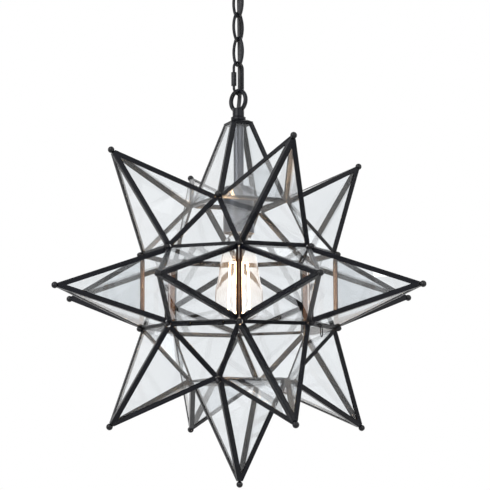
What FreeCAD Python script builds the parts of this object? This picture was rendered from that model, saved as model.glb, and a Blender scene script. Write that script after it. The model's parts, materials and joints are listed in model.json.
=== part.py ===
import FreeCAD, Part
import collections
import itertools
import math
import os

V = FreeCAD.Vector
UP = V(0, 0, 1)

# Glass star. Lengths in millimetres, angles in degrees.
tip_radius = 250.0            # star centre to the centre of a tip ball
tip_reach = 4.9               # a point's edges would meet this far beyond the centre of its ball
core_share = 0.3888           # edge of the square that each point stands on, over tip_radius
apex_share = 1.0785           # height at which the top point's edges would meet, over tip_radius
cap_corner_radius = 20.5      # star axis to the corners where the top point is cut off
ridge_width = 6.2             # metal seen on each side of a point's slanting edges
base_width = 3.2              # metal seen on each side of the edges where points meet
post_width = 3.6              # the same on the upright edges of the middle band
rim_width = 2.0               # the same where the basket meets the upper part
foot_width = 4.6              # the same round the bottom point
came_lip = 1.0                # least hold of a came on its pane
came_sheet = 0.4              # sheet that the cames are folded from
pane_thickness = 1.5
pane_gap = 0.1                # play of a pane in its came
post_seam = 0.5               # slit between two points that stand side by side
tip_ball_radius = 4.3
bead_radius = 3.9
running_gap = 0.3             # air between curved pieces that meet
basket_gap = 0.4              # air between the upper part and the basket
thread_gap = 0.1              # radial play of threaded and turning fits
pin_gap = 0.05                # radial play on the hinge pins

# Basket hinge and latch
hinge_offset = 22.4           # middle of each hinge from the middle of its edge
hinge_length = 10.0
knuckle_radius = 2.5
hinge_pin_radius = 1.0
leaf_thickness = 0.8
latch_offset = -15.6          # latch from the middle of its edge
latch_standoff = 1.9          # latch pivot above the rim it stands on
latch_inset = 2.0             # latch pivot from the edge of that rim
latch_wire = 1.4
latch_half_width = 3.4
latch_length = 14.0
lug_radius = 1.5
lug_length = 3.6
lug_foot = 2.0
stud_radius = 0.9
stud_inset = 2.2              # latch stud from the edge of the basket's rim

# Hanging loops, chain and cord
ring_inner_radius = 10.6
ring_wire = 5.8
neck_radius = 7.8
neck_height = 12.0
neck_flare_radius = 5.3
neck_flare_height = 8.0
nipple_radius = 5.0
nipple_bore_radius = 3.5
nipple_grip = 5.0             # thread that holds a neck on its nipple
nipple_play = 0.5             # nipple short of the end of the neck's thread
ceiling_gap = 0.2             # nipple and ground screw below the ceiling
link_wire = 4.0
link_length = 37.6            # between the wire centres at the two ends
link_half_width = 8.3
link_end_radius = 5.2
link_count = 3
screw_link_wire = 3.5
screw_link_length = 43.4
screw_link_gap = 4.4
sleeve_length = 18.0
sleeve_rise = 2.2             # sleeve above the link's lower bend
sleeve_grip = 1.8             # hold of the sleeve below the gap
sleeve_flats = 6.6
chain_azimuth = 67.5          # direction that the screw link lies in, from +X
cord_radius = 2.8
cord_low_along = 8.2          # cord beside the screw link, along chain_azimuth
cord_low_across = 5.4
cord_high_along = 8.4         # cord beside the canopy loop
cord_high_across = 6.7
cord_high_rise = 4.0          # bend above the foot of the canopy loop's ring
cord_low_drop = 6.0           # bend below the top of the star loop's ring
cord_mouth_gap = 1.0          # straight run beyond a neck's mouth
cord_end_gap = 1.5            # cord's end below the ceiling

# Cap, stem and lampholder
cap_overhang = 1.2
cap_rise = 3.5
cap_top_corner_radius = 12.8
cap_wall = 1.2
collar_radius = 9.9
collar_height = 4.0
stem_radius = 6.75
stem_wall = 1.4
stem_length = 88.0
cup_radius = 20.2
cup_length = 62.0
cup_wall = 1.2
cup_shoulder = 3.0
nut_flats = 14.0
nut_height = 4.0
holder_radius = 18.2
holder_length = 42.0
holder_floor = 8.0
holder_boss_radius = 12.0
shell_wall = 0.55
shell_length = 28.0
contact_radius = 4.0

# Bulb
bulb_depth = 39.8             # top of the bulb below the top of the cup
bulb_base_radius = 13.1
bulb_base_length = 23.0
bulb_base_wall = 0.5
bulb_crown_height = 4.5
bulb_length = 140.0
bulb_radius = 32.0
bulb_wall = 0.9
bulb_neck_radius = 12.3
bulb_neck_grip = 4.0          # glass neck inside the base
bulb_stem_length = 32.0
bulb_stem_radius = 5.0
bulb_rod_radius = 1.6
bulb_rod_clearance = 11.0     # foot of the glass rod above the end of the bulb
bulb_hub_radius = 2.6
# Side of the glass from neck to widest: share of the height, share of the swell still to come
bulb_swell = [(0.94, 0.84), (0.8, 0.6), (0.65, 0.44), (0.46, 0.3), (0.22, 0.12), (0.0, 0.0)]
filament_radius = 0.9
filament_count = 8
filament_azimuth = 0.0
filament_drop = 10.0          # top of the filaments below the stem's pinch
filament_head_radius = 13.0   # top of the filaments from the bulb's axis
filament_foot_radius = 16.0

# Ceiling set
canopy_radius = 60.0
canopy_depth = 26.0
canopy_lip = 5.0
canopy_wall = 1.2
canopy_flat_radius = 16.0
canopy_collar_radius = 11.0
canopy_collar_height = 6.0
strap_end = 2.6               # strap beyond the end of a slot
strap_width = 18.0
strap_thickness = 2.0
slot_spacing = 88.9
slot_length = 12.0
slot_width = 5.0
ground_screw_radius = 2.0
ground_screw_head = 4.0
ground_screw_offset = 22.0

# Heights above the star centre
point_radius = tip_radius + tip_reach
core_edge = core_share * tip_radius
top_apex = apex_share * tip_radius
half_edge = core_edge / 2
core_apothem = half_edge * (1 + math.sqrt(2))
corner_ring = half_edge / math.sin(math.pi / 8)
square_radius = core_edge / math.sqrt(2)
cap_z = top_apex - cap_corner_radius * (top_apex - core_apothem) / square_radius
plate_z = cap_z + cap_rise - cap_wall
collar_z = cap_z + cap_rise
neck_z = collar_z + collar_height
ring_mean = ring_inner_radius + ring_wire / 2
star_ring_z = neck_z + neck_height + ring_inner_radius
cup_top = plate_z - stem_length
nut_z = cup_top - cup_wall - nut_height
holder_top = nut_z - 1.0
shell_radius = bulb_base_radius + running_gap + shell_wall
bulb_top = cup_top - bulb_depth
came_depth = pane_thickness + 2 * pane_gap + 2 * came_sheet
strap_length = slot_spacing + slot_length + 2 * strap_end


def hook(upper_wire, lower_wire):
    """Height between the wire centres of two hooked rings."""
    return (upper_wire + lower_wire) / 2 + running_gap


screw_link_low = star_ring_z + ring_mean - hook(screw_link_wire, ring_wire)
screw_link_high = screw_link_low + screw_link_length
link_lows = [screw_link_high - hook(link_wire, screw_link_wire)]
for _ in range(link_count - 1):
    link_lows.append(link_lows[-1] + link_length - hook(link_wire, link_wire))
chain_top = link_lows[-1] + link_length
canopy_ring_z = chain_top - hook(ring_wire, link_wire) + ring_mean
canopy_neck_z = canopy_ring_z + ring_inner_radius + neck_height
canopy_base_z = canopy_neck_z + canopy_collar_height
ceiling_z = canopy_base_z + canopy_depth


def turned(azimuth, radius, z):
    """Point at a radius from the star axis, azimuth in degrees from +X."""
    a = math.radians(azimuth)
    return V(radius * math.cos(a), radius * math.sin(a), z)


def unit(v):
    return v * (1.0 / v.Length)


def convex_solid(planes):
    """Solid bounded by planes, each a point and an outward normal."""
    corners = []
    for (p1, n1), (p2, n2), (p3, n3) in itertools.combinations(planes, 3):
        d = n1.dot(n2.cross(n3))
        if abs(d) < 1e-7:
            continue
        x = n2.cross(n3) * p1.dot(n1) + n3.cross(n1) * p2.dot(n2) + n1.cross(n2) * p3.dot(n3)
        x = x * (1.0 / d)
        inside = all((x - p).dot(n) < 1e-6 for p, n in planes)
        if inside and all((x - c).Length > 1e-4 for c in corners):
            corners.append(x)
    faces = []
    for p, n in planes:
        rim = [c for c in corners if abs((c - p).dot(n)) < 1e-4]
        if len(rim) < 3:
            continue
        mid = sum(rim, V()) * (1.0 / len(rim))
        u = unit(rim[0] - mid)
        w = n.cross(u)
        rim.sort(key=lambda c: math.atan2((c - mid).dot(w), (c - mid).dot(u)))
        faces.append(Part.Face(Part.makePolygon(rim + [rim[0]])))
    shell = Part.Shell(faces)
    shell.sewShape()
    solid = Part.Solid(shell)
    if solid.Volume < 0:
        solid.reverse()
    return solid


def block(low, high, frame):
    """Box between two local corners, in a frame of origin and three unit axes."""
    origin, ex, ey, ez = frame

    def at(x, y, z):
        return origin + ex * x + ey * y + ez * z

    near, far = at(*low), at(*high)
    axes = (ex, ey, ez)
    return convex_solid([(near, axis * -1) for axis in axes] + [(far, axis) for axis in axes])


def cylinder(radius, start, end):
    return Part.makeCylinder(radius, (end - start).Length, start, end - start)


def disc(radius, z0, z1, hole=0.0):
    solid = cylinder(radius, V(0, 0, z0), V(0, 0, z1))
    if hole:
        solid = solid.cut(cylinder(hole, V(0, 0, z0 - 1), V(0, 0, z1 + 1)))
    return solid


def turned_solid(edges):
    """Solid of revolution about Z from a closed run of edges in the XZ plane."""
    face = Part.Face(Part.Wire(edges))
    return face.revolve(V(), UP, 360)


def outline(points):
    """Closed straight outline in the XZ plane from (radius, height) pairs."""
    corners = [V(r, 0, z) for r, z in points]
    return Part.makePolygon(corners + [corners[0]]).Edges


def hexagon(flats, z0, z1, hole):
    rim = [turned(60 * k, flats / math.sqrt(3), z0) for k in range(7)]
    prism = Part.Face(Part.makePolygon(rim)).extrude(V(0, 0, z1 - z0))
    return prism.cut(cylinder(hole, V(0, 0, z0 - 1), V(0, 0, z1 + 1)))


def swept(edges, radius):
    """Round wire or cord along a run of tangent edges."""
    path = Part.Wire(edges)
    first = path.OrderedEdges[0]
    start = first.valueAt(first.FirstParameter)
    along = first.tangentAt(first.FirstParameter)
    if path.OrderedEdges[0].Orientation == "Reversed":
        start = first.valueAt(first.LastParameter)
        along = first.tangentAt(first.LastParameter) * -1
    disc_face = Part.Face(Part.Wire(Part.makeCircle(radius, start, along)))
    solid = path.makePipe(disc_face)
    return solid if solid.ShapeType == "Solid" else Part.Solid(solid.Shells[0])


def arc(a, mid, b):
    return Part.Arc(a, mid, b).toShape()


def line(a, b):
    return Part.makeLine(a, b)


# Every pane of the star as a ring of corners, counter-clockwise from outside
def core_corner(azimuth, level):
    return turned(azimuth, corner_ring, level * half_edge)


def square_corner(azimuth, level):
    return turned(azimuth, square_radius, level * core_apothem)


panes = []


def add_point(group, base, tip):
    """Four triangular panes from a square base to a tip."""
    for k in range(4):
        panes.append((group, [base[k], base[(k + 1) % 4], tip]))


def add_tier(level, point_name, infill_name):
    """Four points and four triangles between the middle band and an end square."""
    for k in range(4):
        a = 90 * k
        corners = [core_corner(a + 22.5, level), core_corner(a + 67.5, level),
                   square_corner(a + 90, level), square_corner(a, level)]
        triangle = [core_corner(a - 22.5, level), core_corner(a + 22.5, level), square_corner(a, level)]
        if level < 0:
            corners.reverse()
            triangle.reverse()
        leg = point_radius / math.sqrt(2)
        add_point(point_name % (k + 1), corners, turned(a + 45, leg, level * leg))
        panes.append((infill_name, triangle))


top_square = [square_corner(90 * k, 1) for k in range(4)]
share = (cap_z - core_apothem) / (top_apex - core_apothem)
cut_square = [c + (V(0, 0, top_apex) - c) * share for c in top_square]
for k in range(4):
    j = (k + 1) % 4
    panes.append(("top_point", [top_square[k], top_square[j], cut_square[j], cut_square[k]]))
add_tier(1, "upper_point_%d", "upper_infill")
for k in range(8):
    a = 45 * k
    band = [core_corner(a - 22.5, -1), core_corner(a + 22.5, -1),
            core_corner(a + 22.5, 1), core_corner(a - 22.5, 1)]
    add_point("mid_point_%d" % (k + 1), band, turned(a, point_radius, 0))
add_tier(-1, "lower_point_%d", "lower_infill")
bottom_square = [square_corner(90 * k, -1) for k in (3, 2, 1, 0)]
add_point("bottom_point", bottom_square, V(0, 0, -point_radius))


def in_basket(group):
    return group.startswith(("lower", "bottom"))


def normal_of(corners):
    return unit((corners[1] - corners[0]).cross(corners[2] - corners[0]))


def edge_key(a, b):
    ends = sorted(tuple(round(c, 3) for c in p) for p in (a, b))
    return tuple(ends)


edge_panes = {}
for index, (group, corners) in enumerate(panes):
    for a, b in zip(corners, corners[1:] + corners[:1]):
        edge_panes.setdefault(edge_key(a, b), []).append(index)

hinge_edge = edge_key(core_corner(-112.5, -1), core_corner(-67.5, -1))
latch_edge = edge_key(core_corner(-22.5, -1), core_corner(22.5, -1))
hinge_y = -core_apothem
hinge_z = -half_edge


Edge = collections.namedtuple("Edge", "start inward slope gap inset width")


def pane_edges(index):
    """Face normal of a pane, and each edge with its mitre slope, gap, glass inset and came width."""
    group, corners = panes[index]
    n = normal_of(corners)
    edges = []
    for a, b in zip(corners, corners[1:] + corners[:1]):
        key = edge_key(a, b)
        inward = n.cross(unit(b - a))
        others = [i for i in edge_panes[key] if i != index]
        slope, gap, inset, width = None, 0.0, came_sheet, base_width
        if others:
            other_group, other_corners = panes[others[0]]
            other_n = normal_of(other_corners)
            other_inward = other_n.cross(unit(a - b))
            dihedral = math.acos(max(-1.0, min(1.0, inward.dot(other_inward))))
            if other_inward.dot(n) > 0:
                dihedral = 2 * math.pi - dihedral
            slope = 1 / math.tan(dihedral / 2)
            if other_group == group:
                width = ridge_width
            elif abs(unit(b - a).z) > 0.999:
                gap = post_seam / 2
                width = post_width
            elif in_basket(group) != in_basket(other_group):
                gap = basket_gap / 2
                width = base_width if key == latch_edge else rim_width
            elif "bottom_point" in (group, other_group):
                width = foot_width
            inset = came_sheet + gap + max(slope, 0) * (came_depth - came_sheet)
        if key == hinge_edge:
            inset = knuckle_radius + running_gap + came_sheet
        edges.append(Edge(a, inward, slope, gap, inset, max(width, inset + pane_gap + came_lip)))
    return n, edges


def corner_clips(corners, air):
    """Planes that take the corners off a pane, clear of the balls that sit there."""
    clips = []
    count = len(corners)
    for k, corner in enumerate(corners):
        if abs(corner.z - cap_z) < 1e-6:
            continue
        towards = unit(corners[k - 1] - corner) + unit(corners[(k + 1) % count] - corner)
        towards = unit(towards)
        centre, ball = corner, bead_radius
        if abs(corner.Length - point_radius) < 1e-6:
            centre, ball = unit(corner) * tip_radius, tip_ball_radius
        clips.append((centre + towards * (ball + air), towards * -1))
    return clips


def came_and_pane(index):
    group, corners = panes[index]
    n, edges = pane_edges(index)
    start = corners[0]
    clip = 2 * running_gap if in_basket(group) else running_gap

    def slab(top, bottom, sides, air):
        ends = [(start - n * top, n), (start - n * bottom, n * -1)]
        return convex_solid(ends + sides + corner_clips(corners, air))

    mitres = []
    for e in edges:
        if e.slope is None:
            mitres.append((e.start, UP))
        else:
            mitres.append((e.start + e.inward * e.gap, unit(e.inward + n * e.slope) * -1))

    def walls(extra):
        return [(e.start + e.inward * (e.inset + extra), e.inward * -1) for e in edges]

    window_walls = [(e.start + e.inward * e.width, e.inward * -1) for e in edges]
    ends = [(start + n, n), (start - n * (came_depth + 1), n * -1)]
    window = convex_solid(ends + window_walls)
    groove = slab(came_sheet, came_depth - came_sheet, walls(0), clip + came_sheet)
    came = slab(0, came_depth, mitres, clip).cut([window, groove])
    glass_top = came_sheet + pane_gap
    glass = slab(glass_top, glass_top + pane_thickness, walls(pane_gap), clip + came_sheet + pane_gap)
    if hinge_edge in [edge_key(a, b) for a, b in zip(corners, corners[1:] + corners[:1])]:
        came = came.cut(hinge_notches)
    return came.Solids[0], glass


hinge_notches = []
for side in (-1, 1):
    reach = hinge_length / 2 + running_gap
    ends = [V(side * hinge_offset + end, hinge_y, hinge_z) for end in (-reach, reach)]
    hinge_notches.append(cylinder(knuckle_radius + running_gap, *ends))


def knuckle(x0, x1, index):
    """Barrel on the hinge line with a leaf on the pane's rim."""
    n, edges = pane_edges(index)
    corners = panes[index][1]
    pairs = list(zip(corners, corners[1:] + corners[:1]))
    place = [k for k, (a, b) in enumerate(pairs) if edge_key(a, b) == hinge_edge][0]
    rim = edges[place]
    axis = V(1, 0, 0)
    barrel = cylinder(knuckle_radius, V(x0, hinge_y, hinge_z), V(x1, hinge_y, hinge_z))
    frame = (V(0, hinge_y, hinge_z), axis, rim.inward, n)
    leaf = block((x0, 0, 0), (x1, rim.width, leaf_thickness), frame)
    bore = cylinder(hinge_pin_radius + pin_gap, V(x0 - 1, hinge_y, hinge_z), V(x1 + 1, hinge_y, hinge_z))
    return barrel.fuse(leaf).cut(bore).removeSplitter().Solids[0]


def hinge_parts():
    owners = edge_panes[hinge_edge]
    star_pane = [i for i in owners if not in_basket(panes[i][0])][0]
    basket_pane = [i for i in owners if in_basket(panes[i][0])][0]
    star_knuckles, basket_knuckles, pins = [], [], []
    half = hinge_length / 2
    for side in (-1, 1):
        x = side * hinge_offset
        star_knuckles.append(knuckle(x - half, x - running_gap / 2, star_pane))
        basket_knuckles.append(knuckle(x + running_gap / 2, x + half, basket_pane))
        ends = [V(x - half, hinge_y, hinge_z), V(x + half, hinge_y, hinge_z)]
        pins.append(cylinder(hinge_pin_radius, *ends))
    return star_knuckles, basket_knuckles, pins


def latch_parts():
    """Lug and wire loop on the upper part, stud on the basket, at the edge that faces +X."""
    edge = V(core_apothem, latch_offset, -half_edge)
    star_pane = [i for i in edge_panes[latch_edge] if not in_basket(panes[i][0])][0]
    basket_pane = [i for i in edge_panes[latch_edge] if in_basket(panes[i][0])][0]
    n_star = normal_of(panes[star_pane][1])
    n_basket = normal_of(panes[basket_pane][1])
    along = V(0, 1, 0)
    up_star = unit(along.cross(n_star))
    if up_star.x < 0:
        up_star = up_star * -1
    pivot = edge + n_star * latch_standoff + up_star * latch_inset
    down_basket = unit(along.cross(n_basket))
    if down_basket.z > 0:
        down_basket = down_basket * -1
    half = lug_length / 2
    wire = latch_wire / 2
    foot = block((-half, latch_inset - lug_foot / 2, 0), (half, latch_inset + lug_foot / 2, latch_standoff),
                 (edge, along, up_star, n_star))
    barrel = cylinder(lug_radius, pivot - along * half, pivot + along * half)
    bore = cylinder(wire + thread_gap, pivot - along * (half + 1), pivot + along * (half + 1))
    lug = foot.fuse(barrel).cut(bore).removeSplitter().Solids[0]

    def at(y, z):
        return pivot + along * y + UP * z

    w = latch_half_width
    c = wire * 1.2
    low = -(latch_length - w)
    d = c * (1 - math.sqrt(0.5))
    loop = swept([line(at(c - w, 0), at(w - c, 0)), arc(at(w - c, 0), at(w - d, -d), at(w, -c)),
                  line(at(w, -c), at(w, low)), arc(at(w, low), at(0, low - w), at(-w, low)),
                  line(at(-w, low), at(-w, -c)), arc(at(-w, -c), at(d - w, -d), at(c - w, 0))], wire)
    foot_of_stud = edge + down_basket * stud_inset
    stud_end_x = pivot.x - wire - running_gap
    stud_length = (stud_end_x - foot_of_stud.x) / n_basket.x - stud_radius * abs(n_basket.z) / n_basket.x
    stud = cylinder(stud_radius, foot_of_stud, foot_of_stud + n_basket * stud_length)
    return lug, loop, stud, pivot


def oval_link(length, half_width, end_radius, wire, low, azimuth):
    """Closed oval link of four tangent arcs, standing on its lower end."""
    half = length / 2
    rise = half - end_radius
    side_radius = (rise ** 2 + half_width ** 2 - end_radius ** 2) / (2 * (half_width - end_radius))
    turn = math.atan2(rise, side_radius - half_width)
    along = turned(azimuth, 1, 0)
    mid = V(0, 0, low + half)

    def at(x, z):
        return mid + along * x + UP * z

    x = end_radius * math.cos(turn)
    z = rise + end_radius * math.sin(turn)
    edges = [arc(at(x, -z), at(half_width, 0), at(x, z)), arc(at(x, z), at(0, half), at(-x, z)),
             arc(at(-x, z), at(-half_width, 0), at(-x, -z)), arc(at(-x, -z), at(0, -half), at(x, -z))]
    return swept(edges, wire / 2)


def screw_link(azimuth):
    """Oval with straight sides; one side has a gap that the threaded sleeve bridges."""
    along = turned(azimuth, 1, 0)
    r = link_half_width
    low = screw_link_low + r
    high = screw_link_high - r
    sleeve_low = low + sleeve_rise
    gap_low = sleeve_low + sleeve_grip
    gap_high = gap_low + screw_link_gap

    def at(x, z):
        return along * x + UP * z

    edges = [line(at(-r, gap_high), at(-r, high)), arc(at(-r, high), at(0, high + r), at(r, high)),
             line(at(r, high), at(r, low)), arc(at(r, low), at(0, low - r), at(-r, low)),
             line(at(-r, low), at(-r, gap_low))]
    bore = screw_link_wire / 2 + thread_gap
    sleeve = hexagon(sleeve_flats, sleeve_low, sleeve_low + sleeve_length, bore)
    sleeve.translate(along * -r)
    return swept(edges, screw_link_wire / 2), sleeve


def hanging_loop(azimuth):
    """Ring on a hollow neck that stands on z = 0; the cord comes out of the flared mouth."""
    centre = V(0, 0, neck_height + ring_inner_radius)
    ring = Part.makeTorus(ring_mean, ring_wire / 2, centre, turned(azimuth + 90, 1, 0))
    neck = disc(neck_radius, 0, neck_height)
    flare_z = neck_height - neck_flare_height
    flare = Part.makeCone(nipple_bore_radius, neck_flare_radius, neck_flare_height, V(0, 0, flare_z), UP)
    mouth = disc(neck_flare_radius, neck_height, neck_height + ring_wire / 2)
    thread = disc(nipple_radius + thread_gap, -1, nipple_grip)
    bore = disc(nipple_bore_radius, 0, flare_z + 0.5)
    return ring.fuse(neck).cut([flare, mouth, thread, bore]).removeSplitter().Solids[0]


def cord_points():
    """Corners of the cord's route, from the canopy down to the lampholder."""
    along = turned(chain_azimuth, 1, 0)
    across = turned(chain_azimuth + 90, 1, 0)
    high = along * cord_high_along + across * cord_high_across
    low = along * cord_low_along + across * cord_low_across
    mouth = ring_inner_radius + cord_mouth_gap
    return [UP * (ceiling_z - cord_end_gap), UP * (canopy_ring_z + mouth),
            high + UP * (canopy_ring_z - ring_mean + cord_high_rise), low + UP * screw_link_high,
            low + UP * (star_ring_z + ring_mean - cord_low_drop), UP * (star_ring_z - mouth),
            UP * (nut_z - nut_height)]


def rounded_route(points):
    """Straight runs joined by tangent arcs, each as wide as its runs leave room for."""
    edges, radii = [], []
    last = points[0]
    for before, corner, after in zip(points, points[1:], points[2:]):
        back = before - corner
        ahead = after - corner
        reach = 0.45 * min(back.Length, ahead.Length)
        u = unit(back)
        w = unit(ahead)
        half_turn = (math.pi - u.getAngle(w)) / 2
        if half_turn < 1e-4:
            continue
        radius = reach / math.tan(half_turn)
        bisector = unit(u + w)
        middle = corner + bisector * (radius / math.cos(half_turn) - radius)
        edges.append(line(last, corner + u * reach))
        edges.append(arc(corner + u * reach, middle, corner + w * reach))
        last = corner + w * reach
        radii.append(radius)
    edges.append(line(last, points[-1]))
    return edges, radii


def square_frustum(r0, z0, r1, z1):
    rims = [Part.makePolygon([turned(90 * k, r, z) for k in range(5)]) for r, z in ((r0, z0), (r1, z1))]
    return Part.makeLoft(rims, True, True)


def star_cap():
    rim = cap_corner_radius + cap_overhang
    outer = square_frustum(rim, cap_z, cap_top_corner_radius, collar_z)
    lean = cap_wall * math.sqrt(2)
    inner = square_frustum(rim - lean, cap_z, cap_top_corner_radius - lean, plate_z)
    hole = disc(nipple_radius + thread_gap, cap_z, collar_z + 1)
    return outer.cut([inner, hole]).Solids[0]


def socket_cup():
    r = cup_radius
    low = cup_top - cup_length
    s = cup_shoulder
    t = cup_wall
    hole = nipple_radius + thread_gap

    def rounded(radius, top, bend):
        d = bend * (1 - math.sqrt(0.5))
        return arc(V(radius, 0, top - bend), V(radius - d, 0, top - d), V(radius - bend, 0, top))

    return turned_solid([
        line(V(r - t, 0, low), V(r, 0, low)), line(V(r, 0, low), V(r, 0, cup_top - s)),
        rounded(r, cup_top, s), line(V(r - s, 0, cup_top), V(hole, 0, cup_top)),
        line(V(hole, 0, cup_top), V(hole, 0, cup_top - t)),
        line(V(hole, 0, cup_top - t), V(r - s, 0, cup_top - t)),
        rounded(r - t, cup_top - t, s - t), line(V(r - t, 0, cup_top - s), V(r - t, 0, low))])


def lampholder():
    hole = nipple_radius + thread_gap
    low = holder_top - holder_floor - holder_length
    boss_z = holder_top - holder_floor
    bore = shell_radius + thread_gap
    floor_z = boss_z - holder_floor
    body = turned_solid(outline([
        (hole, holder_top), (holder_boss_radius, holder_top), (holder_boss_radius, boss_z),
        (holder_radius, boss_z), (holder_radius, low), (bore, low), (bore, floor_z),
        (contact_radius / 2 + thread_gap, floor_z), (contact_radius / 2 + thread_gap, boss_z),
        (hole, boss_z)]))
    shell_low = low + 2.0
    shell = disc(shell_radius, shell_low, shell_low + shell_length, shell_radius - shell_wall)
    tip = bulb_top + running_gap
    contact = disc(contact_radius, tip, tip + 1.0).fuse(disc(contact_radius / 2, tip, boss_z - 1.0))
    return body, shell, contact.removeSplitter()


def bulb():
    top = bulb_top
    base_low = top - bulb_base_length
    low = top - bulb_length
    wide = low + bulb_radius
    button = contact_radius
    r = bulb_base_radius
    t = bulb_base_wall
    crown = top - bulb_crown_height
    base = turned_solid(outline([
        (0, top), (button, top), (button, top - bulb_crown_height / 3), (r, crown), (r, base_low),
        (r - t, base_low), (r - t, crown - t), (0, crown - t)]))
    neck = bulb_neck_radius
    neck_z0 = base_low + bulb_neck_grip
    flare_z = base_low - t
    span = flare_z - wide

    def profile(inset):
        """Neck, swelling side and round end of the glass, moved in by a wall."""
        side = [V(neck - inset, 0, flare_z)]
        for height, left in bulb_swell:
            side.append(V(bulb_radius - left * (bulb_radius - neck) - inset, 0, wide + height * span))
        curve = Part.BSplineCurve()
        curve.interpolate(side, InitialTangent=V(0, 0, -1), FinalTangent=V(0, 0, -1))
        end = V(0, 0, low + inset)
        centre = V(0, 0, wide)
        bend = bulb_radius - inset
        mid = centre + V(bend * math.sin(math.pi / 4), 0, -bend * math.cos(math.pi / 4))
        return [line(V(neck - inset, 0, neck_z0), side[0]), curve.toShape(), arc(side[-1], mid, end)]

    outer = profile(0)
    inner = profile(bulb_wall)
    joins = [line(V(neck, 0, neck_z0), V(neck - bulb_wall, 0, neck_z0)),
             line(V(0, 0, low), V(0, 0, low + bulb_wall))]
    envelope = turned_solid(Part.__sortEdges__(outer + joins + inner))
    rod = bulb_rod_radius
    hub = bulb_hub_radius
    waist = bulb_stem_radius
    flare = neck - bulb_wall - running_gap
    press_z = neck_z0 - bulb_stem_length
    shoulder_z = neck_z0 - 0.22 * bulb_stem_length
    rod_low = low + bulb_rod_clearance
    stem = turned_solid(outline([
        (0, neck_z0), (flare, neck_z0), (flare, neck_z0 - bulb_wall), (waist, shoulder_z),
        (0.8 * waist, press_z), (rod, press_z - 0.8 * waist), (rod, rod_low + 2 * hub),
        (hub, rod_low + hub), (rod, rod_low), (0, rod_low)]))
    filaments = []
    for k in range(filament_count):
        a = filament_azimuth + 360.0 * k / filament_count
        thin = filament_radius * 0.45
        head = turned(a, filament_head_radius, press_z - filament_drop)
        foot = turned(a, filament_foot_radius, rod_low + hub)
        strand = cylinder(filament_radius, head, foot)
        feed = cylinder(thin, turned(a, rod + thread_gap, head.z), head)
        stay = cylinder(thin, turned(a, hub + thread_gap, foot.z), foot)
        filaments.append(strand.fuse([feed, stay]).removeSplitter().Solids[0])
    return envelope, base, stem, filaments


def canopy():
    top = ceiling_z
    base = canopy_base_z
    hole = nipple_radius + thread_gap

    def dome(wall):
        """Dome from the lip down to the flat round its middle, moved in by a wall."""
        a = V(canopy_radius - wall, 0, top - canopy_lip)
        b = V(canopy_flat_radius, 0, base + wall)
        mid = (a + b) * 0.5 + V(6.0, 0, -3.5)
        return a, b, arc(a, mid, b)

    a0, b0, outside = dome(0)
    a1, b1, inside = dome(canopy_wall)
    lip0 = V(canopy_radius, 0, top)
    lip1 = V(canopy_radius - canopy_wall, 0, top)
    edge0 = V(hole, 0, base)
    edge1 = V(hole, 0, base + canopy_wall)
    return turned_solid([line(lip1, lip0), line(lip0, a0), outside, line(b0, edge0), line(edge0, edge1),
                         line(edge1, b1), inside, line(a1, lip1)])


def mounting_strap():
    low = ceiling_z - strap_thickness
    bar = Part.makeBox(strap_length, strap_width, strap_thickness,
                       V(-strap_length / 2, -strap_width / 2, low))
    cuts = [disc(nipple_radius + thread_gap, low - 1, ceiling_z + 1)]
    hole = V(ground_screw_offset, 0, low - 1)
    cuts.append(cylinder(ground_screw_radius + thread_gap, hole, hole + UP * (strap_thickness + 2)))
    reach = (slot_length - slot_width) / 2
    for side in (-1, 1):
        for end in (-reach, reach):
            foot = V(side * slot_spacing / 2 + end, 0, low - 1)
            cuts.append(cylinder(slot_width / 2, foot, foot + UP * (strap_thickness + 2)))
        corner = V(side * slot_spacing / 2 - reach, -slot_width / 2, low - 1)
        cuts.append(Part.makeBox(2 * reach, slot_width, strap_thickness + 2, corner))
    return bar.cut(cuts).removeSplitter().Solids[0]


def ground_screw():
    low = ceiling_z - strap_thickness
    screw = disc(ground_screw_radius, low - 1.0, ceiling_z - ceiling_gap)
    screw = screw.fuse(disc(ground_screw_head, low - 2.5, low)).removeSplitter()
    screw.translate(V(ground_screw_offset, 0, 0))
    return screw.Solids[0]


os.makedirs("parts", exist_ok=True)


def save(name, *solids):
    """Write one node, with the ceiling plane at z = 0."""
    shapes = []
    for solid in solids:
        shape = solid.copy()
        shape.translate(V(0, 0, -ceiling_z))
        shapes.append(shape)
    whole = shapes[0] if len(shapes) == 1 else Part.makeCompound(shapes)
    whole.exportStep("parts/%s.step" % name)


cames, glass = {}, {}
for index, (group, corners) in enumerate(panes):
    came, pane = came_and_pane(index)
    cames.setdefault(group, []).append(came)
    glass.setdefault(group, []).append(pane)
for group, solids in cames.items():
    save(group + "_cames", *solids)
glass_sets = {"upper_panes": ("top", "upper"), "mid_panes": ("mid",), "basket_panes": ("lower", "bottom")}
for name, starts in glass_sets.items():
    save(name, *[s for group, solids in glass.items() if group.startswith(starts) for s in solids])


def balls(points, radius):
    return [Part.makeSphere(radius, p) for p in points]


leg = tip_radius / math.sqrt(2)
upper_tips = [turned(45 + 90 * k, leg, leg) for k in range(4)]
upper_tips += [turned(45 * k, tip_radius, 0) for k in range(8)]
lower_tips = [turned(45 + 90 * k, leg, -leg) for k in range(4)] + [V(0, 0, -tip_radius)]
upper_joints = [core_corner(22.5 + 45 * k, level) for level in (1, -1) for k in range(8)] + top_square
save("star_tip_balls", *balls(upper_tips, tip_ball_radius))
save("basket_tip_balls", *balls(lower_tips, tip_ball_radius))
save("star_beads", *balls(upper_joints, bead_radius))
save("basket_beads", *balls(bottom_square, bead_radius))

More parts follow.
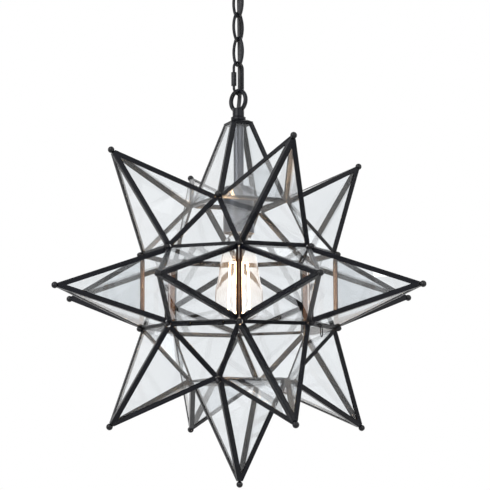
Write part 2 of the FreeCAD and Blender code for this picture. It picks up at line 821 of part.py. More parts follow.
star_knuckles, basket_knuckles, hinge_pins = hinge_parts()
save("star_hinge_knuckles", *star_knuckles)
save("basket_hinge_knuckles", *basket_knuckles)
save("hinge_pins", *hinge_pins)
latch_lug, latch_loop, latch_stud, latch_pivot = latch_parts()
save("latch_lug", latch_lug)
save("latch_loop", latch_loop)
save("latch_stud", latch_stud)

star_loop = hanging_loop(chain_azimuth - 90)
star_loop.translate(V(0, 0, neck_z))
save("star_loop", star_loop)
save("loop_collar", disc(collar_radius, collar_z, neck_z, nipple_radius + thread_gap))
save("star_cap", star_cap())
nipple_top = neck_z + nipple_grip - nipple_play
save("stem_nipple", disc(nipple_radius, nut_z - nut_height, nipple_top, nipple_bore_radius))
save("stem_sleeve", disc(stem_radius, cup_top, plate_z, stem_radius - stem_wall))
save("stem_nut", hexagon(nut_flats, nut_z, cup_top - cup_wall, nipple_radius + thread_gap))
save("socket_cup", socket_cup())
holder_body, holder_shell, holder_contact = lampholder()
save("lampholder_body", holder_body)
save("lampholder_shell", holder_shell)
save("lampholder_contact", holder_contact)
envelope, bulb_base, bulb_stem, filaments = bulb()
save("bulb_envelope", envelope)
save("bulb_base", bulb_base)
save("bulb_stem", bulb_stem)
save("bulb_filaments", *filaments)

link_body, sleeve = screw_link(chain_azimuth)
save("screw_link", link_body)
save("screw_link_sleeve", sleeve)
for k, low in enumerate(link_lows):
    azimuth = chain_azimuth + 90 * (k + 1)
    link = oval_link(link_length, link_half_width, link_end_radius, link_wire, low, azimuth)
    save("chain_link_%d" % (link_count - k), link)
canopy_loop = hanging_loop(chain_azimuth + 90 * (link_count + 1))
canopy_loop.rotate(V(), V(1, 0, 0), 180)
canopy_loop.rotate(V(), UP, 2 * (chain_azimuth + 90 * (link_count + 1)))
canopy_loop.translate(V(0, 0, canopy_neck_z))
save("canopy_loop", canopy_loop)
save("canopy_collar", disc(canopy_collar_radius, canopy_neck_z, canopy_base_z, nipple_radius + thread_gap))
save("canopy", canopy())
nipple_low = canopy_neck_z - nipple_grip + nipple_play
save("canopy_nipple", disc(nipple_radius, nipple_low, ceiling_z - ceiling_gap, nipple_bore_radius))
strap_low = ceiling_z - strap_thickness
save("nipple_nut", hexagon(nut_flats, strap_low - nut_height, strap_low, nipple_radius + thread_gap))
save("mounting_strap", mounting_strap())
save("ground_screw", ground_screw())

route = cord_points()
cord_edges, cord_radii = rounded_route(route)
cord = swept(cord_edges, cord_radius)
save("supply_cord", cord)

cord_length = sum(edge.Length for edge in cord_edges)
print("cord bend radii", [round(r, 1) for r in cord_radii])
print("cord length", round(cord_length, 1))
cord_section = math.pi * cord_radius ** 2
print("cord volume over section times length", round(cord.Volume / (cord_section * cord_length), 4))
print("cord corners", [tuple(round(c, 2) for c in p - UP * ceiling_z) for p in route])
print("star centre height", round(-ceiling_z, 3), "cap", round(cap_z, 2), "cup top", round(cup_top, 2))
print("ring heights", round(star_ring_z, 2), round(canopy_ring_z, 2))
print("link heights", [round(z, 2) for z in link_lows])
print("screw link", round(screw_link_low, 2), round(screw_link_high, 2), "bulb top", round(bulb_top, 2))
print("latch pivot", tuple(round(c, 3) for c in latch_pivot - UP * ceiling_z))
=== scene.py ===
import json
import math

import bmesh
import bpy
from mathutils import Matrix, Vector

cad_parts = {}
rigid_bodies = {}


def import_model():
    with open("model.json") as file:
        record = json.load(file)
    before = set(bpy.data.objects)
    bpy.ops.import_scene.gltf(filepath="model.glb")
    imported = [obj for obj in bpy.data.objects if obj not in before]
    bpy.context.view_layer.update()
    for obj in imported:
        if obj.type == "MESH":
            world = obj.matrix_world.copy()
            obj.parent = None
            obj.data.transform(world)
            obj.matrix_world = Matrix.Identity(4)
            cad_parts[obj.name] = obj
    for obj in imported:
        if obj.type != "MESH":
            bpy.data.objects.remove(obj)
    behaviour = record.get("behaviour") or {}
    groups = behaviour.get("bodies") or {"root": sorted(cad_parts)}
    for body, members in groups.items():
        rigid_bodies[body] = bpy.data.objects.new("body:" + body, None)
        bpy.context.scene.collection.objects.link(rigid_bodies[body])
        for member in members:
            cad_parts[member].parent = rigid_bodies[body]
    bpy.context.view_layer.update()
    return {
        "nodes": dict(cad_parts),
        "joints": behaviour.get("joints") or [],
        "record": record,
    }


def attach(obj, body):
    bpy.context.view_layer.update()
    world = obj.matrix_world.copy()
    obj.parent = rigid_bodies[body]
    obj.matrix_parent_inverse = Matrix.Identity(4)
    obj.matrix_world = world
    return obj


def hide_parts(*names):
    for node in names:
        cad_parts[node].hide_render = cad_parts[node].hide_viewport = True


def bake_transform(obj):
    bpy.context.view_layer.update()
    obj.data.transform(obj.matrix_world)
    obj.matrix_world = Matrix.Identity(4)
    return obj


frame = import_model()
nodes = frame["nodes"]
joints = {joint["name"]: joint for joint in frame["joints"]}
scene = bpy.context.scene
scene.view_settings.view_transform = "Standard"

# Star, in metres: edge of its core, rise of the belts above and below its middle, its hinge edge, its middle
CORE_EDGE = 0.0972
BELT_RISE = CORE_EDGE / 2
_, HINGE_Y, HINGE_Z = joints["basket_hinge"]["pos_m"]
STAR = Vector((0.0, 0.0, HINGE_Z + BELT_RISE))

# Camera, fitted to the star's corners in a picture 490 pixels wide; angles in degrees
PICTURE_WIDTH = 490.0
FOCAL_PIXELS = 1715.55
SENSOR = 36.0
VIEW_AZIMUTH = 22.247
VIEW_ELEVATION = -7.064
VIEW_ROLL = 0.215
VIEW_DISTANCE = 2.2456
CAMERA_RIGHT = 0.00789
CAMERA_UP = 0.06102


def make_camera():
    az = math.radians(VIEW_AZIMUTH)
    el = math.radians(VIEW_ELEVATION)
    roll = math.radians(VIEW_ROLL)
    back = Vector((math.sin(az) * math.cos(el), -math.cos(az) * math.cos(el), math.sin(el)))
    level = Vector((math.cos(az), math.sin(az), 0.0))
    upright = back.cross(level)
    right = level * math.cos(roll) - upright * math.sin(roll)
    up = level * math.sin(roll) + upright * math.cos(roll)
    data = bpy.data.cameras.new("camera")
    data.sensor_width = SENSOR
    data.lens = FOCAL_PIXELS * SENSOR / PICTURE_WIDTH
    camera = bpy.data.objects.new("camera", data)
    place = STAR + right * CAMERA_RIGHT + up * CAMERA_UP + back * VIEW_DISTANCE
    camera.matrix_world = Matrix((
        (right.x, up.x, back.x, place.x),
        (right.y, up.y, back.y, place.y),
        (right.z, up.z, back.z, place.z),
        (0.0, 0.0, 0.0, 1.0),
    ))
    scene.collection.objects.link(camera)
    scene.camera = camera


make_camera()


# Building blocks of the materials: rays that round an edge, and the levels that most of a noise lies between
BEVEL_SAMPLES = 6
NOISE_LOW = 0.3
NOISE_HIGH = 0.7


def add(tree, kind, **values):
    """A node; each value goes to the input or else the property of that name."""
    made = tree.nodes.new(kind)
    for name, value in values.items():
        socket = made.inputs.get(name.replace("_", " "))
        if socket is not None:
            socket.default_value = value
        else:
            setattr(made, name, value)
    return made


def new_material(name):
    made = bpy.data.materials.new(name)
    made.use_nodes = True
    return made, made.node_tree, made.node_tree.nodes["Principled BSDF"]


def ramp(tree, source, low, dark, high, light):
    """One colour up to the low value of the source, the other from its high value on."""
    made = tree.nodes.new("ShaderNodeValToRGB")
    stops = ((low, dark), (high, light))
    for point, (place, colour) in zip(made.color_ramp.elements, stops):
        point.position = place
        point.color = (*colour, 1.0)
    tree.links.new(source, made.inputs["Fac"])
    return made.outputs["Color"]


def map_range(tree, source, low, high):
    """A source from 0 to 1 spread over another range."""
    made = add(tree, "ShaderNodeMapRange", To_Min=low, To_Max=high)
    tree.links.new(source, made.inputs["Value"])
    return made.outputs["Result"]


def share_between(tree, source, none, full):
    """0 where the source has the first value, rising to 1 where it has the second."""
    made = add(tree, "ShaderNodeMapRange", From_Min=none, From_Max=full)
    tree.links.new(source, made.inputs["Value"])
    return made.outputs["Result"]


def combined(tree, operation, first, second):
    made = add(tree, "ShaderNodeMath", operation=operation)
    tree.links.new(first, made.inputs[0])
    tree.links.new(second, made.inputs[1])
    return made.outputs["Value"]


def dot_product(tree, first, second):
    made = add(tree, "ShaderNodeVectorMath", operation="DOT_PRODUCT")
    tree.links.new(first, made.inputs[0])
    tree.links.new(second, made.inputs[1])
    return made.outputs["Value"]


def blended(tree, kind, share, first, second):
    """Mix of a linked value or colour with a plain one."""
    mix = add(tree, "ShaderNodeMix", data_type=kind)
    mix.inputs["B"].default_value = second
    tree.links.new(share, mix.inputs["Factor"])
    tree.links.new(first, mix.inputs["A"])
    return mix.outputs["Result"]


def place_on_object(tree):
    return add(tree, "ShaderNodeTexCoord").outputs["Object"]


def height_on_object(tree):
    split = add(tree, "ShaderNodeSeparateXYZ")
    tree.links.new(place_on_object(tree), split.inputs["Vector"])
    return split.outputs["Z"]


def noise(tree, scale, detail):
    made = add(tree, "ShaderNodeTexNoise", Scale=scale, Detail=detail)
    tree.links.new(place_on_object(tree), made.inputs["Vector"])
    return made.outputs["Fac"]


def rounded_normal(tree, radius):
    return add(tree, "ShaderNodeBevel", Radius=radius, samples=BEVEL_SAMPLES).outputs["Normal"]


def raise_relief(tree, shader, height, strength, depth, normal=None):
    relief = add(tree, "ShaderNodeBump", Strength=strength, Distance=depth)
    tree.links.new(height, relief.inputs["Height"])
    if normal is not None:
        tree.links.new(normal, relief.inputs["Normal"])
    tree.links.new(relief.outputs["Normal"], shader.inputs["Normal"])


def edge_turn_share(tree, rounded, flat=0.98, corner=0.75):
    """0 on flat ground, rising to 1 where the surface turns a corner, by the cosine of the turn."""
    surface = add(tree, "ShaderNodeNewGeometry")
    return share_between(tree, dot_product(tree, rounded, surface.outputs["Normal"]), flat, corner)


def inner_share(tree, normal, sideways=0.15, facing=0.55):
    """0 on surfaces turned away from the middle of the star, 1 on those that face it, by cosine."""
    inward = add(tree, "ShaderNodeVectorMath", operation="SUBTRACT")
    inward.inputs[0].default_value = STAR
    tree.links.new(place_on_object(tree), inward.inputs[1])
    unit = add(tree, "ShaderNodeVectorMath", operation="NORMALIZE")
    tree.links.new(inward.outputs["Vector"], unit.inputs[0])
    turned = add(tree, "ShaderNodeVectorTransform", vector_type="NORMAL", convert_from="WORLD",
                 convert_to="OBJECT")
    tree.links.new(normal, turned.inputs["Vector"])
    cosine = dot_product(tree, unit.outputs["Vector"], turned.outputs["Vector"])
    return share_between(tree, cosine, sideways, facing)


# Paint: scales of its clouds and of the patches on its edges, per metre, and what they change
CLOUD_SCALE = 34.0
CLOUD_DETAIL = 4.0
CLOUD_DARK = 0.35
CLOUD_LIGHT = 0.7
CLOUD_SMOOTHER = 0.06
CLOUD_ROUGHER = 0.08
PATCH_SCALE = 160.0
PATCH_DETAIL = 3.0
PATCH_LEAST = 0.2
PATCH_MOST = 1.2
GRAIN_DETAIL = 2.0


def painted(name, dark, light, edge_wear_and_shade, roughness, grain=1800.0, bump=0.06, specular=0.4, edge=0.0007,
            edge_specular=0.4, relief_depth=0.0004, metallic=0.0, rounding=None, inner=None):
    """Satin paint with cloudy tone and fine grain; a lighter edge tone is rubbed wear, a darker and dull one
    is painted shade along the edges, as on the dark metal.
    """
    made, tree, shader = new_material(name)
    cloud = noise(tree, CLOUD_SCALE, CLOUD_DETAIL)
    colour = ramp(tree, cloud, CLOUD_DARK, dark, CLOUD_LIGHT, light)
    rounded = rounded_normal(tree, edge)
    wear_and_shade_share = edge_turn_share(tree, rounded)
    if rounding:
        rounded = rounded_normal(tree, rounding)
    patches = map_range(tree, noise(tree, PATCH_SCALE, PATCH_DETAIL), PATCH_LEAST, PATCH_MOST)
    # Edge tone: lighter edges are wear; darker edges, as on the dark metal, are painted shade
    colour = blended(tree, "RGBA", combined(tree, "MULTIPLY", wear_and_shade_share, patches), colour, (*edge_wear_and_shade, 1.0))
    gloss = map_range(tree, wear_and_shade_share, specular, edge_specular)
    spread = map_range(tree, cloud, roughness - CLOUD_SMOOTHER, roughness + CLOUD_ROUGHER)
    # On sides that face the middle of the star the colour is painted lighter and warmer, as lamp light; the
    # gloss and roughness there change too
    if inner:
        lamp_facing_share = inner_share(tree, rounded)
        colour = blended(tree, "RGBA", lamp_facing_share, colour, (*inner["colour"], 1.0))
        gloss = blended(tree, "FLOAT", lamp_facing_share, gloss, inner["specular"])
        spread = blended(tree, "FLOAT", lamp_facing_share, spread, inner["roughness"])
    tree.links.new(colour, shader.inputs["Base Color"])
    tree.links.new(spread, shader.inputs["Roughness"])
    tree.links.new(gloss, shader.inputs["Specular IOR Level"])
    shader.inputs["Metallic"].default_value = metallic
    raise_relief(tree, shader, noise(tree, grain, GRAIN_DETAIL), bump, relief_depth, rounded)
    return made


# Painted lamp light: an orange glow painted on the upright edges of the middle band, which are no lamp:
# where it ends and is full, and its strength
POST_RADIUS = CORE_EDGE / (2 * math.sin(math.pi / 8))
POST_NONE = POST_RADIUS + 0.0025
POST_FULL = POST_RADIUS + 0.001
POST_RISE_NONE = 0.044
POST_RISE_FULL = 0.016
POST_PAINTED_GLOW = 0.12
POST_PAINTED_GLOW_COLOUR = (1.0, 0.34, 0.09, 1.0)


def paint_post_glow(made):
    """Orange glow painted on the upright edges of the middle band as the lamp's spilled light, strongest
    half way up.
    """
    tree = made.node_tree
    shader = tree.nodes["Principled BSDF"]
    level = add(tree, "ShaderNodeVectorMath", operation="MULTIPLY")
    level.inputs[1].default_value = (1.0, 1.0, 0.0)
    tree.links.new(place_on_object(tree), level.inputs[0])
    radius = add(tree, "ShaderNodeVectorMath", operation="LENGTH")
    tree.links.new(level.outputs["Vector"], radius.inputs[0])
    near = share_between(tree, radius.outputs["Value"], POST_NONE, POST_FULL)
    above = add(tree, "ShaderNodeMath", operation="SUBTRACT")
    above.inputs[1].default_value = STAR.z
    tree.links.new(height_on_object(tree), above.inputs[0])
    rise = add(tree, "ShaderNodeMath", operation="ABSOLUTE")
    tree.links.new(above.outputs["Value"], rise.inputs[0])
    middle = share_between(tree, rise.outputs["Value"], POST_RISE_NONE, POST_RISE_FULL)
    # Painted lamp light: the posts glow orange by this strength, though they are no lamp
    painted_post_glow = map_range(tree, combined(tree, "MULTIPLY", near, middle), 0.0, POST_PAINTED_GLOW)
    tree.links.new(painted_post_glow, shader.inputs["Emission Strength"])
    shader.inputs["Emission Color"].default_value = POST_PAINTED_GLOW_COLOUR
    made.cycles.emission_sampling = "NONE"


# Bright metal: its drawn lines, much longer than wide, and what they change
SCRATCHES = 420.0
SCRATCH_STRETCH = 0.04
SCRATCH_SCALE = 4.0
SCRATCH_DETAIL = 4.0
SCRATCH_SMOOTHER = 0.08
SCRATCH_ROUGHER = 0.1
SCRATCH_BUMP = 0.08
SCRATCH_DEPTH = 0.0003
METAL_EDGE = 0.0004


def bare_metal(name, dark, light, roughness):
    """Bright metal with drawn lines and a cloudy tone."""
    made, tree, shader = new_material(name)
    stretch = add(tree, "ShaderNodeMapping", Scale=(SCRATCHES, SCRATCHES, SCRATCHES * SCRATCH_STRETCH))
    tree.links.new(place_on_object(tree), stretch.inputs["Vector"])
    drawn = add(tree, "ShaderNodeTexNoise", Scale=SCRATCH_SCALE, Detail=SCRATCH_DETAIL)
    tree.links.new(stretch.outputs["Vector"], drawn.inputs["Vector"])
    lines = drawn.outputs["Fac"]
    tone = ramp(tree, lines, NOISE_LOW, dark, NOISE_HIGH, light)
    tree.links.new(tone, shader.inputs["Base Color"])
    spread = map_range(tree, lines, roughness - SCRATCH_SMOOTHER, roughness + SCRATCH_ROUGHER)
    tree.links.new(spread, shader.inputs["Roughness"])
    shader.inputs["Metallic"].default_value = 1.0
    raise_relief(tree, shader, lines, SCRATCH_BUMP, SCRATCH_DEPTH, rounded_normal(tree, METAL_EDGE))
    return made


def clear_glass(name, ior, roughness, passed):
    """Glass that the lamp's light passes straight through, by the share passed."""
    made, tree, shader = new_material(name)
    shader.inputs["Roughness"].default_value = roughness
    shader.inputs["IOR"].default_value = ior
    shader.inputs["Transmission Weight"].default_value = 1.0
    path = add(tree, "ShaderNodeLightPath")
    clear = add(tree, "ShaderNodeBsdfTransparent", Color=(passed, passed, passed, 1.0))
    both = add(tree, "ShaderNodeMixShader")
    tree.links.new(path.outputs["Is Shadow Ray"], both.inputs["Fac"])
    tree.links.new(shader.outputs["BSDF"], both.inputs[1])
    tree.links.new(clear.outputs["BSDF"], both.inputs[2])
    tree.links.new(both.outputs["Shader"], tree.nodes["Material Output"].inputs["Surface"])
    return made, tree, shader


# Panes: scale, tone and depth of the waves in the glass
WAVE_SCALE = 9.0
WAVE_DETAIL = 2.0
WAVE_BUMP = 0.12
WAVE_DEPTH = 0.002
PANE_DARK = (0.87, 0.887, 0.9)
PANE_LIGHT = (0.91, 0.924, 0.935)


def pane_glass():
    """Clear drawn glass, a little grey, with the faint waves of its making."""
    made, tree, shader = clear_glass("pane_glass", ior=1.46, roughness=0.0, passed=0.9)
    wave = noise(tree, WAVE_SCALE, WAVE_DETAIL)
    tone = ramp(tree, wave, NOISE_LOW, PANE_DARK, NOISE_HIGH, PANE_LIGHT)
    tree.links.new(tone, shader.inputs["Base Color"])
    raise_relief(tree, shader, wave, WAVE_BUMP, WAVE_DEPTH)
    return made


# Bulb: tone of its glass, and a warm glow painted on it for the lamp's light, with its ends above the star's
# middle
RIM_BLEND = 0.3
RIM_START = 0.45
RIM_FULL = 0.95
BULB_CLEAR = (0.985, 0.985, 0.98)
BULB_RIM = (0.45, 0.45, 0.45)
GLOW_TOP = 0.056
GLOW_TOP_FADE = 0.014
GLOW_FOOT = -0.044
GLOW_FOOT_FADE = 0.06
BULB_PAINTED_GLOW = 0.08
BULB_PAINTED_GLOW_COLOUR = (1.0, 0.64, 0.38, 1.0)


def bulb_glass():
    """Thin blown glass, clear face on and grey at its rim, with a warm glow painted on it beside the
    filaments for the lamp's light.
    """
    made, tree, shader = clear_glass("bulb_glass", ior=1.3, roughness=0.0, passed=0.97)
    facing = add(tree, "ShaderNodeLayerWeight", Blend=RIM_BLEND).outputs["Facing"]
    tone = ramp(tree, facing, RIM_START, BULB_CLEAR, RIM_FULL, BULB_RIM)
    tree.links.new(tone, shader.inputs["Base Color"])
    top = STAR.z + GLOW_TOP
    foot = STAR.z + GLOW_FOOT
    height = height_on_object(tree)
    from_top = share_between(tree, height, top, top - GLOW_TOP_FADE)
    from_foot = share_between(tree, height, foot, foot + GLOW_FOOT_FADE)
    # Painted light: the glass glows warm between these heights, though it is no lamp
    painted_bulb_glow = map_range(tree, combined(tree, "MULTIPLY", from_top, from_foot), 0.0, BULB_PAINTED_GLOW)
    tree.links.new(painted_bulb_glow, shader.inputs["Emission Strength"])
    shader.inputs["Emission Color"].default_value = BULB_PAINTED_GLOW_COLOUR
    made.cycles.emission_sampling = "NONE"
    return made


# Stem in the bulb: tone of its streaks
STREAK_SCALE = 300.0
STREAK_DETAIL = 2.0
STEM_DARK = (0.95, 0.95, 0.94)
STEM_LIGHT = (0.99, 0.99, 0.985)


def stem_glass():
    """Clear glass of the bulb's inner stem, with faint streaks."""
    made, tree, shader = clear_glass("stem_glass", ior=1.12, roughness=0.02, passed=0.97)
    streaks = noise(tree, STREAK_SCALE, STREAK_DETAIL)
    tone = ramp(tree, streaks, NOISE_LOW, STEM_DARK, NOISE_HIGH, STEM_LIGHT)
    tree.links.new(tone, shader.inputs["Base Color"])
    return made


# Filaments: the light source in the star
FILAMENT_COAT = (0.9, 0.6, 0.25, 1.0)
FILAMENT_GLOW = (1.0, 0.69, 0.42, 1.0)
FILAMENT_DIM = 330.0
FILAMENT_BRIGHT = 410.0
FILAMENT_BEADS = 700.0


def filament_glow():
    """Warm glowing coat, a little brighter and dimmer along its beads."""
    made, tree, shader = new_material("filament")
    beads = add(tree, "ShaderNodeTexWave", Scale=FILAMENT_BEADS, bands_direction="Z")
    tree.links.new(place_on_object(tree), beads.inputs["Vector"])
    shader.inputs["Base Color"].default_value = FILAMENT_COAT
    shader.inputs["Emission Color"].default_value = FILAMENT_GLOW
    glow = map_range(tree, beads.outputs["Fac"], FILAMENT_DIM, FILAMENT_BRIGHT)
    tree.links.new(glow, shader.inputs["Emission Strength"])
    return made


# Cord cover: its tone and its weave
SHEATH_CLOUDS = 120.0
SHEATH_DETAIL = 3.0
SHEATH_DARK = (0.018, 0.018, 0.021)
SHEATH_LIGHT = (0.045, 0.045, 0.05)
SHEATH_ROUGHNESS = 0.5
WEAVE_SCALE = 260.0
WEAVE_DISTORTION = 0.6
WEAVE_BUMP = 0.25
WEAVE_DEPTH = 0.0003


def sheath():
    """Dark cord cover with a fine woven relief."""
    made, tree, shader = new_material("cord_sheath")
    cloud = noise(tree, SHEATH_CLOUDS, SHEATH_DETAIL)
    tone = ramp(tree, cloud, NOISE_LOW, SHEATH_DARK, NOISE_HIGH, SHEATH_LIGHT)
    tree.links.new(tone, shader.inputs["Base Color"])
    shader.inputs["Roughness"].default_value = SHEATH_ROUGHNESS
    weave = add(tree, "ShaderNodeTexWave", Scale=WEAVE_SCALE, bands_direction="DIAGONAL",
                Distortion=WEAVE_DISTORTION)
    tree.links.new(place_on_object(tree), weave.inputs["Vector"])
    raise_relief(tree, shader, weave.outputs["Fac"], WEAVE_BUMP, WEAVE_DEPTH)
    return made


# Finishes: one for each material slot of the CAD model, and those of single nodes
# Dark metal: its edge tone is darker than its faces, a painted shade along the bars' edges
# Dark metal: its inner colour is painted lamp light on the sides that face the middle of the star
dark_metal = painted(
    "dark_metal", dark=(0.0034, 0.0041, 0.0075), light=(0.0064, 0.0074, 0.0125),
    edge_wear_and_shade=(0.0008, 0.0009, 0.0014), roughness=0.2, grain=900.0, bump=0.03, specular=0.22, edge=0.0012,
    edge_specular=0.05, rounding=0.003,
    inner={"colour": (0.008, 0.0076, 0.0073), "specular": 0.55, "roughness": 0.25})
paint_post_glow(dark_metal)
canopy_metal = painted(
    "canopy_metal", dark=(0.0045, 0.0045, 0.0057), light=(0.0085, 0.0085, 0.0105),
    edge_wear_and_shade=(0.016, 0.016, 0.018), roughness=0.3, grain=900.0, bump=0.03, specular=0.3, edge=0.0004,
    edge_specular=0.3)
solder = painted(
    "dark_solder", dark=(0.006, 0.006, 0.008), light=(0.014, 0.014, 0.017), edge_wear_and_shade=(0.01, 0.01, 0.012),
    roughness=0.16, grain=240.0, bump=0.35, specular=0.3, edge_specular=0.3, relief_depth=0.001)
finishes = {
    "dark_metal": dark_metal,
    "grey_metal": painted(
        "grey_metal", dark=(0.1, 0.103, 0.116), light=(0.14, 0.144, 0.16), edge_wear_and_shade=(0.25, 0.25, 0.26),
        roughness=0.3, grain=900.0, bump=0.03, metallic=0.75),
    "pane_glass": pane_glass(),
    "bulb_glass": bulb_glass(),
    "filament": filament_glow(),
    "plated_cap": bare_metal("nickel", dark=(0.5, 0.49, 0.46), light=(0.72, 0.71, 0.68), roughness=0.25),
    "brass": bare_metal("brass", dark=(0.55, 0.38, 0.13), light=(0.78, 0.58, 0.26), roughness=0.28),
    "phenolic": painted(
        "phenolic", dark=(0.02, 0.02, 0.02), light=(0.035, 0.034, 0.033), edge_wear_and_shade=(0.08, 0.08, 0.08),
        roughness=0.5),
    "zinc_steel": bare_metal(
        "zinc_steel", dark=(0.42, 0.43, 0.44), light=(0.62, 0.63, 0.64), roughness=0.35),
    "ground_green": painted(
        "green_coat", dark=(0.02, 0.14, 0.04), light=(0.03, 0.2, 0.06), edge_wear_and_shade=(0.3, 0.4, 0.3),
        roughness=0.35),
    "cord_fabric": sheath(),
}
own_finish = {
    "bulb_stem": stem_glass(),
    "canopy": canopy_metal,
    "star_tip_balls": solder,
    "basket_tip_balls": solder,
}
for part in frame["record"]["subparts"]:
    mesh = nodes[part["node"]].data
    mesh.materials.clear()
    mesh.materials.append(own_finish.get(part["node"], finishes[part["material_slot"]]))


# Solder drops on the corners: each stands out from its joint, a little uneven
DROP_REACH = 0.0028
DROP_RADIUS = 0.004
# Drops at the ends of the basket's hinge edge stay small, clear of the open basket
HINGE_DROP_RADIUS = 0.0037
DROP_RINGS = 14
DROP_SIDES = 20
# Lumps of a drop's skin: depth, number round it and along it, and their turn from drop to drop
LUMP_DEPTH = 0.03
LUMPS_ROUND = 3
LUMPS_ALONG = 2
LUMP_SHIFT = 40.0
# Finding the joints: corners closer than this are one, and places are sorted to this many digits
WELD_DISTANCE = 1e-6
PLACE_DIGITS = 5


def drop(work, foot):
    """One drop that swells outward from its joint, level on the belts, its skin faintly lumpy."""
    out = foot - STAR
    on_belt = abs(out.z) < BELT_RISE + DROP_RADIUS
    at_hinge = on_belt and out.z < 0.0 and foot.y < HINGE_Y + HINGE_DROP_RADIUS
    reach, radius = (0.0, HINGE_DROP_RADIUS) if at_hinge else (DROP_REACH, DROP_RADIUS)
    if on_belt:
        out.z = 0.0
    out.normalize()
    side = out.orthogonal().normalized()
    other = out.cross(side)
    shift = LUMP_SHIFT * foot.x / STAR.z
    rows = []
    for k in range(1, DROP_RINGS):
        polar = math.pi * k / DROP_RINGS
        row = []
        for j in range(DROP_SIDES):
            turn = 2 * math.pi * j / DROP_SIDES
            lump = 1.0 + LUMP_DEPTH * math.sin(LUMPS_ROUND * turn + shift) * math.sin(LUMPS_ALONG * polar)
            ring = radius * math.sin(polar) * lump
            rise = reach * (1.0 + math.cos(polar)) / 2 + radius * math.cos(polar) * lump
            around = (side * math.cos(turn) + other * math.sin(turn)) * ring
            row.append(work.verts.new(foot + out * rise + around))
        rows.append(row)
    top = work.verts.new(foot + out * (reach + radius))
    low = work.verts.new(foot - out * radius)
    for j in range(DROP_SIDES):
        nxt = (j + 1) % DROP_SIDES
        work.faces.new((top, rows[0][j], rows[0][nxt]))
        work.faces.new((low, rows[-1][nxt], rows[-1][j]))
        for upper, lower in zip(rows, rows[1:]):
            work.faces.new((upper[j], lower[j], lower[nxt], upper[nxt]))


def joint_centres(node):
    """Middle of each ball in a node of separate balls."""
    work = bmesh.new()
    work.from_mesh(nodes[node].data)
    bmesh.ops.remove_doubles(work, verts=work.verts, dist=WELD_DISTANCE)
    centres = []
    unseen = set(work.verts)
    while unseen:
        island, edge = set(), [unseen.pop()]
        while edge:
            vert = edge.pop()
            island.add(vert)
            for link in vert.link_edges:
                far = link.other_vert(vert)
                if far in unseen:
                    unseen.discard(far)
                    edge.append(far)
        lows = [min(v.co[i] for v in island) for i in range(3)]
        highs = [max(v.co[i] for v in island) for i in range(3)]
        centres.append(Vector([(a + b) / 2 for a, b in zip(lows, highs)]))
    work.free()
    return sorted(centres, key=lambda centre: tuple(round(x, PLACE_DIGITS) for x in centre))


def make_drops(name, node, body):
    work = bmesh.new()
    for centre in joint_centres(node):
        drop(work, centre)
    bmesh.ops.recalc_face_normals(work, faces=work.faces)
    for face in work.faces:
        face.smooth = True
    mesh = bpy.data.meshes.new(name)
    work.to_mesh(mesh)
    work.free()
    mesh.materials.append(solder)
    made = bpy.data.objects.new(name, mesh)
    scene.collection.objects.link(made)
    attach(made, body)
    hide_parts(node)


make_drops("star_solder_drops", "star_beads", "star")
make_drops("basket_solder_drops", "basket_beads", "basket")


# Supply cord: corners of its route, with points added on the long straight runs near short ones
CORD_RADIUS = 0.0028
CORD_ROUTE = [
    (0.0, 0.0, -0.0015), (0.0, 0.0, -0.043), (-0.00298, 0.01032, -0.0641), (-0.00271, 0.01016, -0.0878),
    (-0.00236, 0.00995, -0.1186), (-0.00185, 0.00964, -0.16305), (-0.00185, 0.00964, -0.186),
    (-0.00185, 0.00964, -0.2075), (0.0, 0.0, -0.2266), (0.0, 0.0, -0.2481), (0.0, 0.0, -0.34),
]
CORD_STEPS = 24
CORD_ORDER = 3
CORD_SIDES = 20
# Joints marked in the model as bending the cord, from the ceiling down: the bodies above and below, and the
# height
CORD_BENDS = [
    (joint["parent"], joint["child"], joint["pos_m"][2])
    for joint in frame["joints"] if "deforming_nodes" in joint
]
CORD_CUT_GAP = 1e-5


def cord_line():
    """Points along the cord's smooth line, from the canopy down."""
    data = bpy.data.curves.new("cord_line", "CURVE")
    data.dimensions = "3D"
    data.resolution_u = CORD_STEPS
    spline = data.splines.new("NURBS")
    spline.points.add(len(CORD_ROUTE) - 1)
    for point, place in zip(spline.points, CORD_ROUTE):
        point.co = (*place, 1.0)
    spline.order_u = CORD_ORDER
    spline.use_endpoint_u = True
    holder = bpy.data.objects.new("cord_line", data)
    scene.collection.objects.link(holder)
    line = bpy.data.meshes.new_from_object(holder)
    points = [v.co.copy() for v in line.vertices]
    bpy.data.objects.remove(holder)
    bpy.data.meshes.remove(line)
    return points


def tube(name, line, radius, sides):
    """Closed round tube along a line of points."""
    work = bmesh.new()
    side = Vector((1.0, 0.0, 0.0))
    rings = []
    for k, point in enumerate(line):
        along = (line[min(k + 1, len(line) - 1)] - line[max(k - 1, 0)]).normalized()
        side = (side - along * side.dot(along)).normalized()
        other = along.cross(side)
        ring = []
        for j in range(sides):
            turn = 2 * math.pi * j / sides
            ring.append(work.verts.new(point + (side * math.cos(turn) + other * math.sin(turn)) * radius))
        rings.append(ring)
    for upper, lower in zip(rings, rings[1:]):
        for j in range(sides):
            nxt = (j + 1) % sides
            work.faces.new((upper[j], upper[nxt], lower[nxt], lower[j])).smooth = True
    work.faces.new(rings[0])
    work.faces.new(list(reversed(rings[-1])))
    bmesh.ops.recalc_face_normals(work, faces=work.faces)
    mesh = bpy.data.meshes.new(name)
    work.to_mesh(mesh)
    work.free()
    made = bpy.data.objects.new(name, mesh)
    scene.collection.objects.link(made)
    return made


def at_height(line, z):
    """Point of a falling line at a height."""
    for a, b in zip(line, line[1:]):
        if a.z >= z >= b.z:
            return a.lerp(b, (a.z - z) / (a.z - b.z))


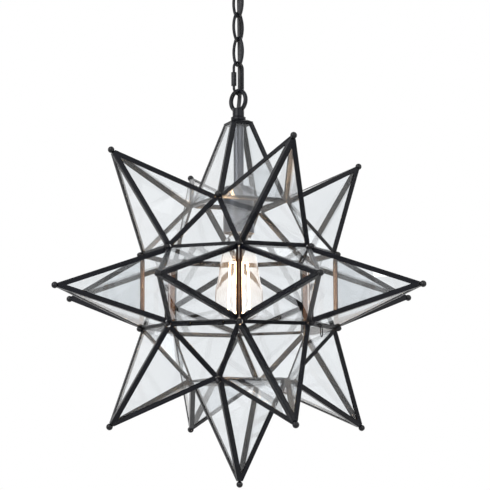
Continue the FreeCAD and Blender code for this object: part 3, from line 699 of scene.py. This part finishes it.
def make_cord():
    """Lengths of cord, one for each joint of the chain, cut half way between joints."""
    line = cord_line()
    heights = [bend[2] for bend in CORD_BENDS]
    cuts = [line[0].z] + [(a + b) / 2 for a, b in zip(heights, heights[1:])] + [line[-1].z]
    for k, (upper_body, lower_body, joint_z) in enumerate(CORD_BENDS):
        top, low = cuts[k], cuts[k + 1]
        inner = [p for p in line if low + CORD_CUT_GAP < p.z < top - CORD_CUT_GAP]
        run = [at_height(line, top)] + inner + [at_height(line, low)]
        piece = tube("supply_cord_%d" % (k + 1), run, CORD_RADIUS, CORD_SIDES)
        piece.data.materials.append(finishes["cord_fabric"])
        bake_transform(piece)
        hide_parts("supply_cord")


make_cord()


# Floor, far below so that views from under the light are open; it is white to the eye and in the glass
FLOOR_Z = -6.0
FLOOR_HALF = 40.0
FLOOR_SCALE = 3.0
FLOOR_DETAIL = 3.0
FLOOR_DARK = (0.84, 0.84, 0.84)
FLOOR_LIGHT = (0.88, 0.88, 0.88)
FLOOR_ROUGHNESS = 0.8
FLOOR_GLOW = (("Is Glossy Ray", 0.45), ("Is Transmission Ray", 0.68), ("Is Camera Ray", 0.68))
WHITE = (1.0, 1.0, 1.0, 1.0)


def floor_finish():
    made, tree, shader = new_material("floor")
    cloud = noise(tree, FLOOR_SCALE, FLOOR_DETAIL)
    tone = ramp(tree, cloud, NOISE_LOW, FLOOR_DARK, NOISE_HIGH, FLOOR_LIGHT)
    tree.links.new(tone, shader.inputs["Base Color"])
    shader.inputs["Roughness"].default_value = FLOOR_ROUGHNESS
    path = add(tree, "ShaderNodeLightPath")
    glossy, through, seen = [map_range(tree, path.outputs[kind], 0.0, glow) for kind, glow in FLOOR_GLOW]
    white = combined(tree, "MAXIMUM", combined(tree, "MAXIMUM", glossy, through), seen)
    tree.links.new(white, shader.inputs["Emission Strength"])
    shader.inputs["Emission Color"].default_value = WHITE
    made.cycles.emission_sampling = "NONE"
    return made


def make_floor():
    corners = [(x * FLOOR_HALF, y * FLOOR_HALF, FLOOR_Z) for x, y in ((-1, -1), (1, -1), (1, 1), (-1, 1))]
    mesh = bpy.data.meshes.new("floor")
    mesh.from_pydata(corners, [], [(0, 1, 2, 3)])
    mesh.materials.append(floor_finish())
    floor = bpy.data.objects.new("floor", mesh)
    scene.collection.objects.link(floor)


make_floor()


# White surroundings: a plain light, and what the eye, the gloss and the glass see of them
WORLD_LIGHT = 0.4
WORLD_SEEN = (("Is Glossy Ray", 0.95), ("Is Transmission Ray", 1.0), ("Is Camera Ray", 1.0))


def make_world():
    world = bpy.data.worlds.new("surroundings")
    scene.world = world
    world.use_nodes = True
    tree = world.node_tree
    light = tree.nodes["Background"]
    light.inputs["Color"].default_value = WHITE
    light.inputs["Strength"].default_value = WORLD_LIGHT
    path = add(tree, "ShaderNodeLightPath")
    seen = light.outputs["Background"]
    for kind, strength in WORLD_SEEN:
        white = add(tree, "ShaderNodeBackground", Color=WHITE, Strength=strength)
        both = add(tree, "ShaderNodeMixShader")
        tree.links.new(path.outputs[kind], both.inputs["Fac"])
        tree.links.new(seen, both.inputs[1])
        tree.links.new(white.outputs["Background"], both.inputs[2])
        seen = both.outputs["Shader"]
    tree.links.new(seen, tree.nodes["World Output"].inputs["Surface"])


make_world()


# Softboxes that face the star: place from its middle, width and height in metres, power in watts
SOFTBOXES = {
    "key_light": ((-0.7, -2.3, 1.1), (2.0, 2.0), 40.0),
    "fill_light": ((2.0, -1.0, 0.6), (2.2, 2.2), 12.0),
    "back_light": ((0.3, 2.2, 1.2), (2.2, 2.0), 12.0),
}


def softbox(name, place, size, power):
    data = bpy.data.lights.new(name, "AREA")
    data.shape = "RECTANGLE"
    data.size, data.size_y = size
    data.energy = power
    lamp = bpy.data.objects.new(name, data)
    lamp.location = STAR + Vector(place)
    lamp.rotation_euler = (-Vector(place)).to_track_quat("-Z", "Y").to_euler()
    scene.collection.objects.link(lamp)


for name, (place, size, power) in SOFTBOXES.items():
    softbox(name, place, size, power)
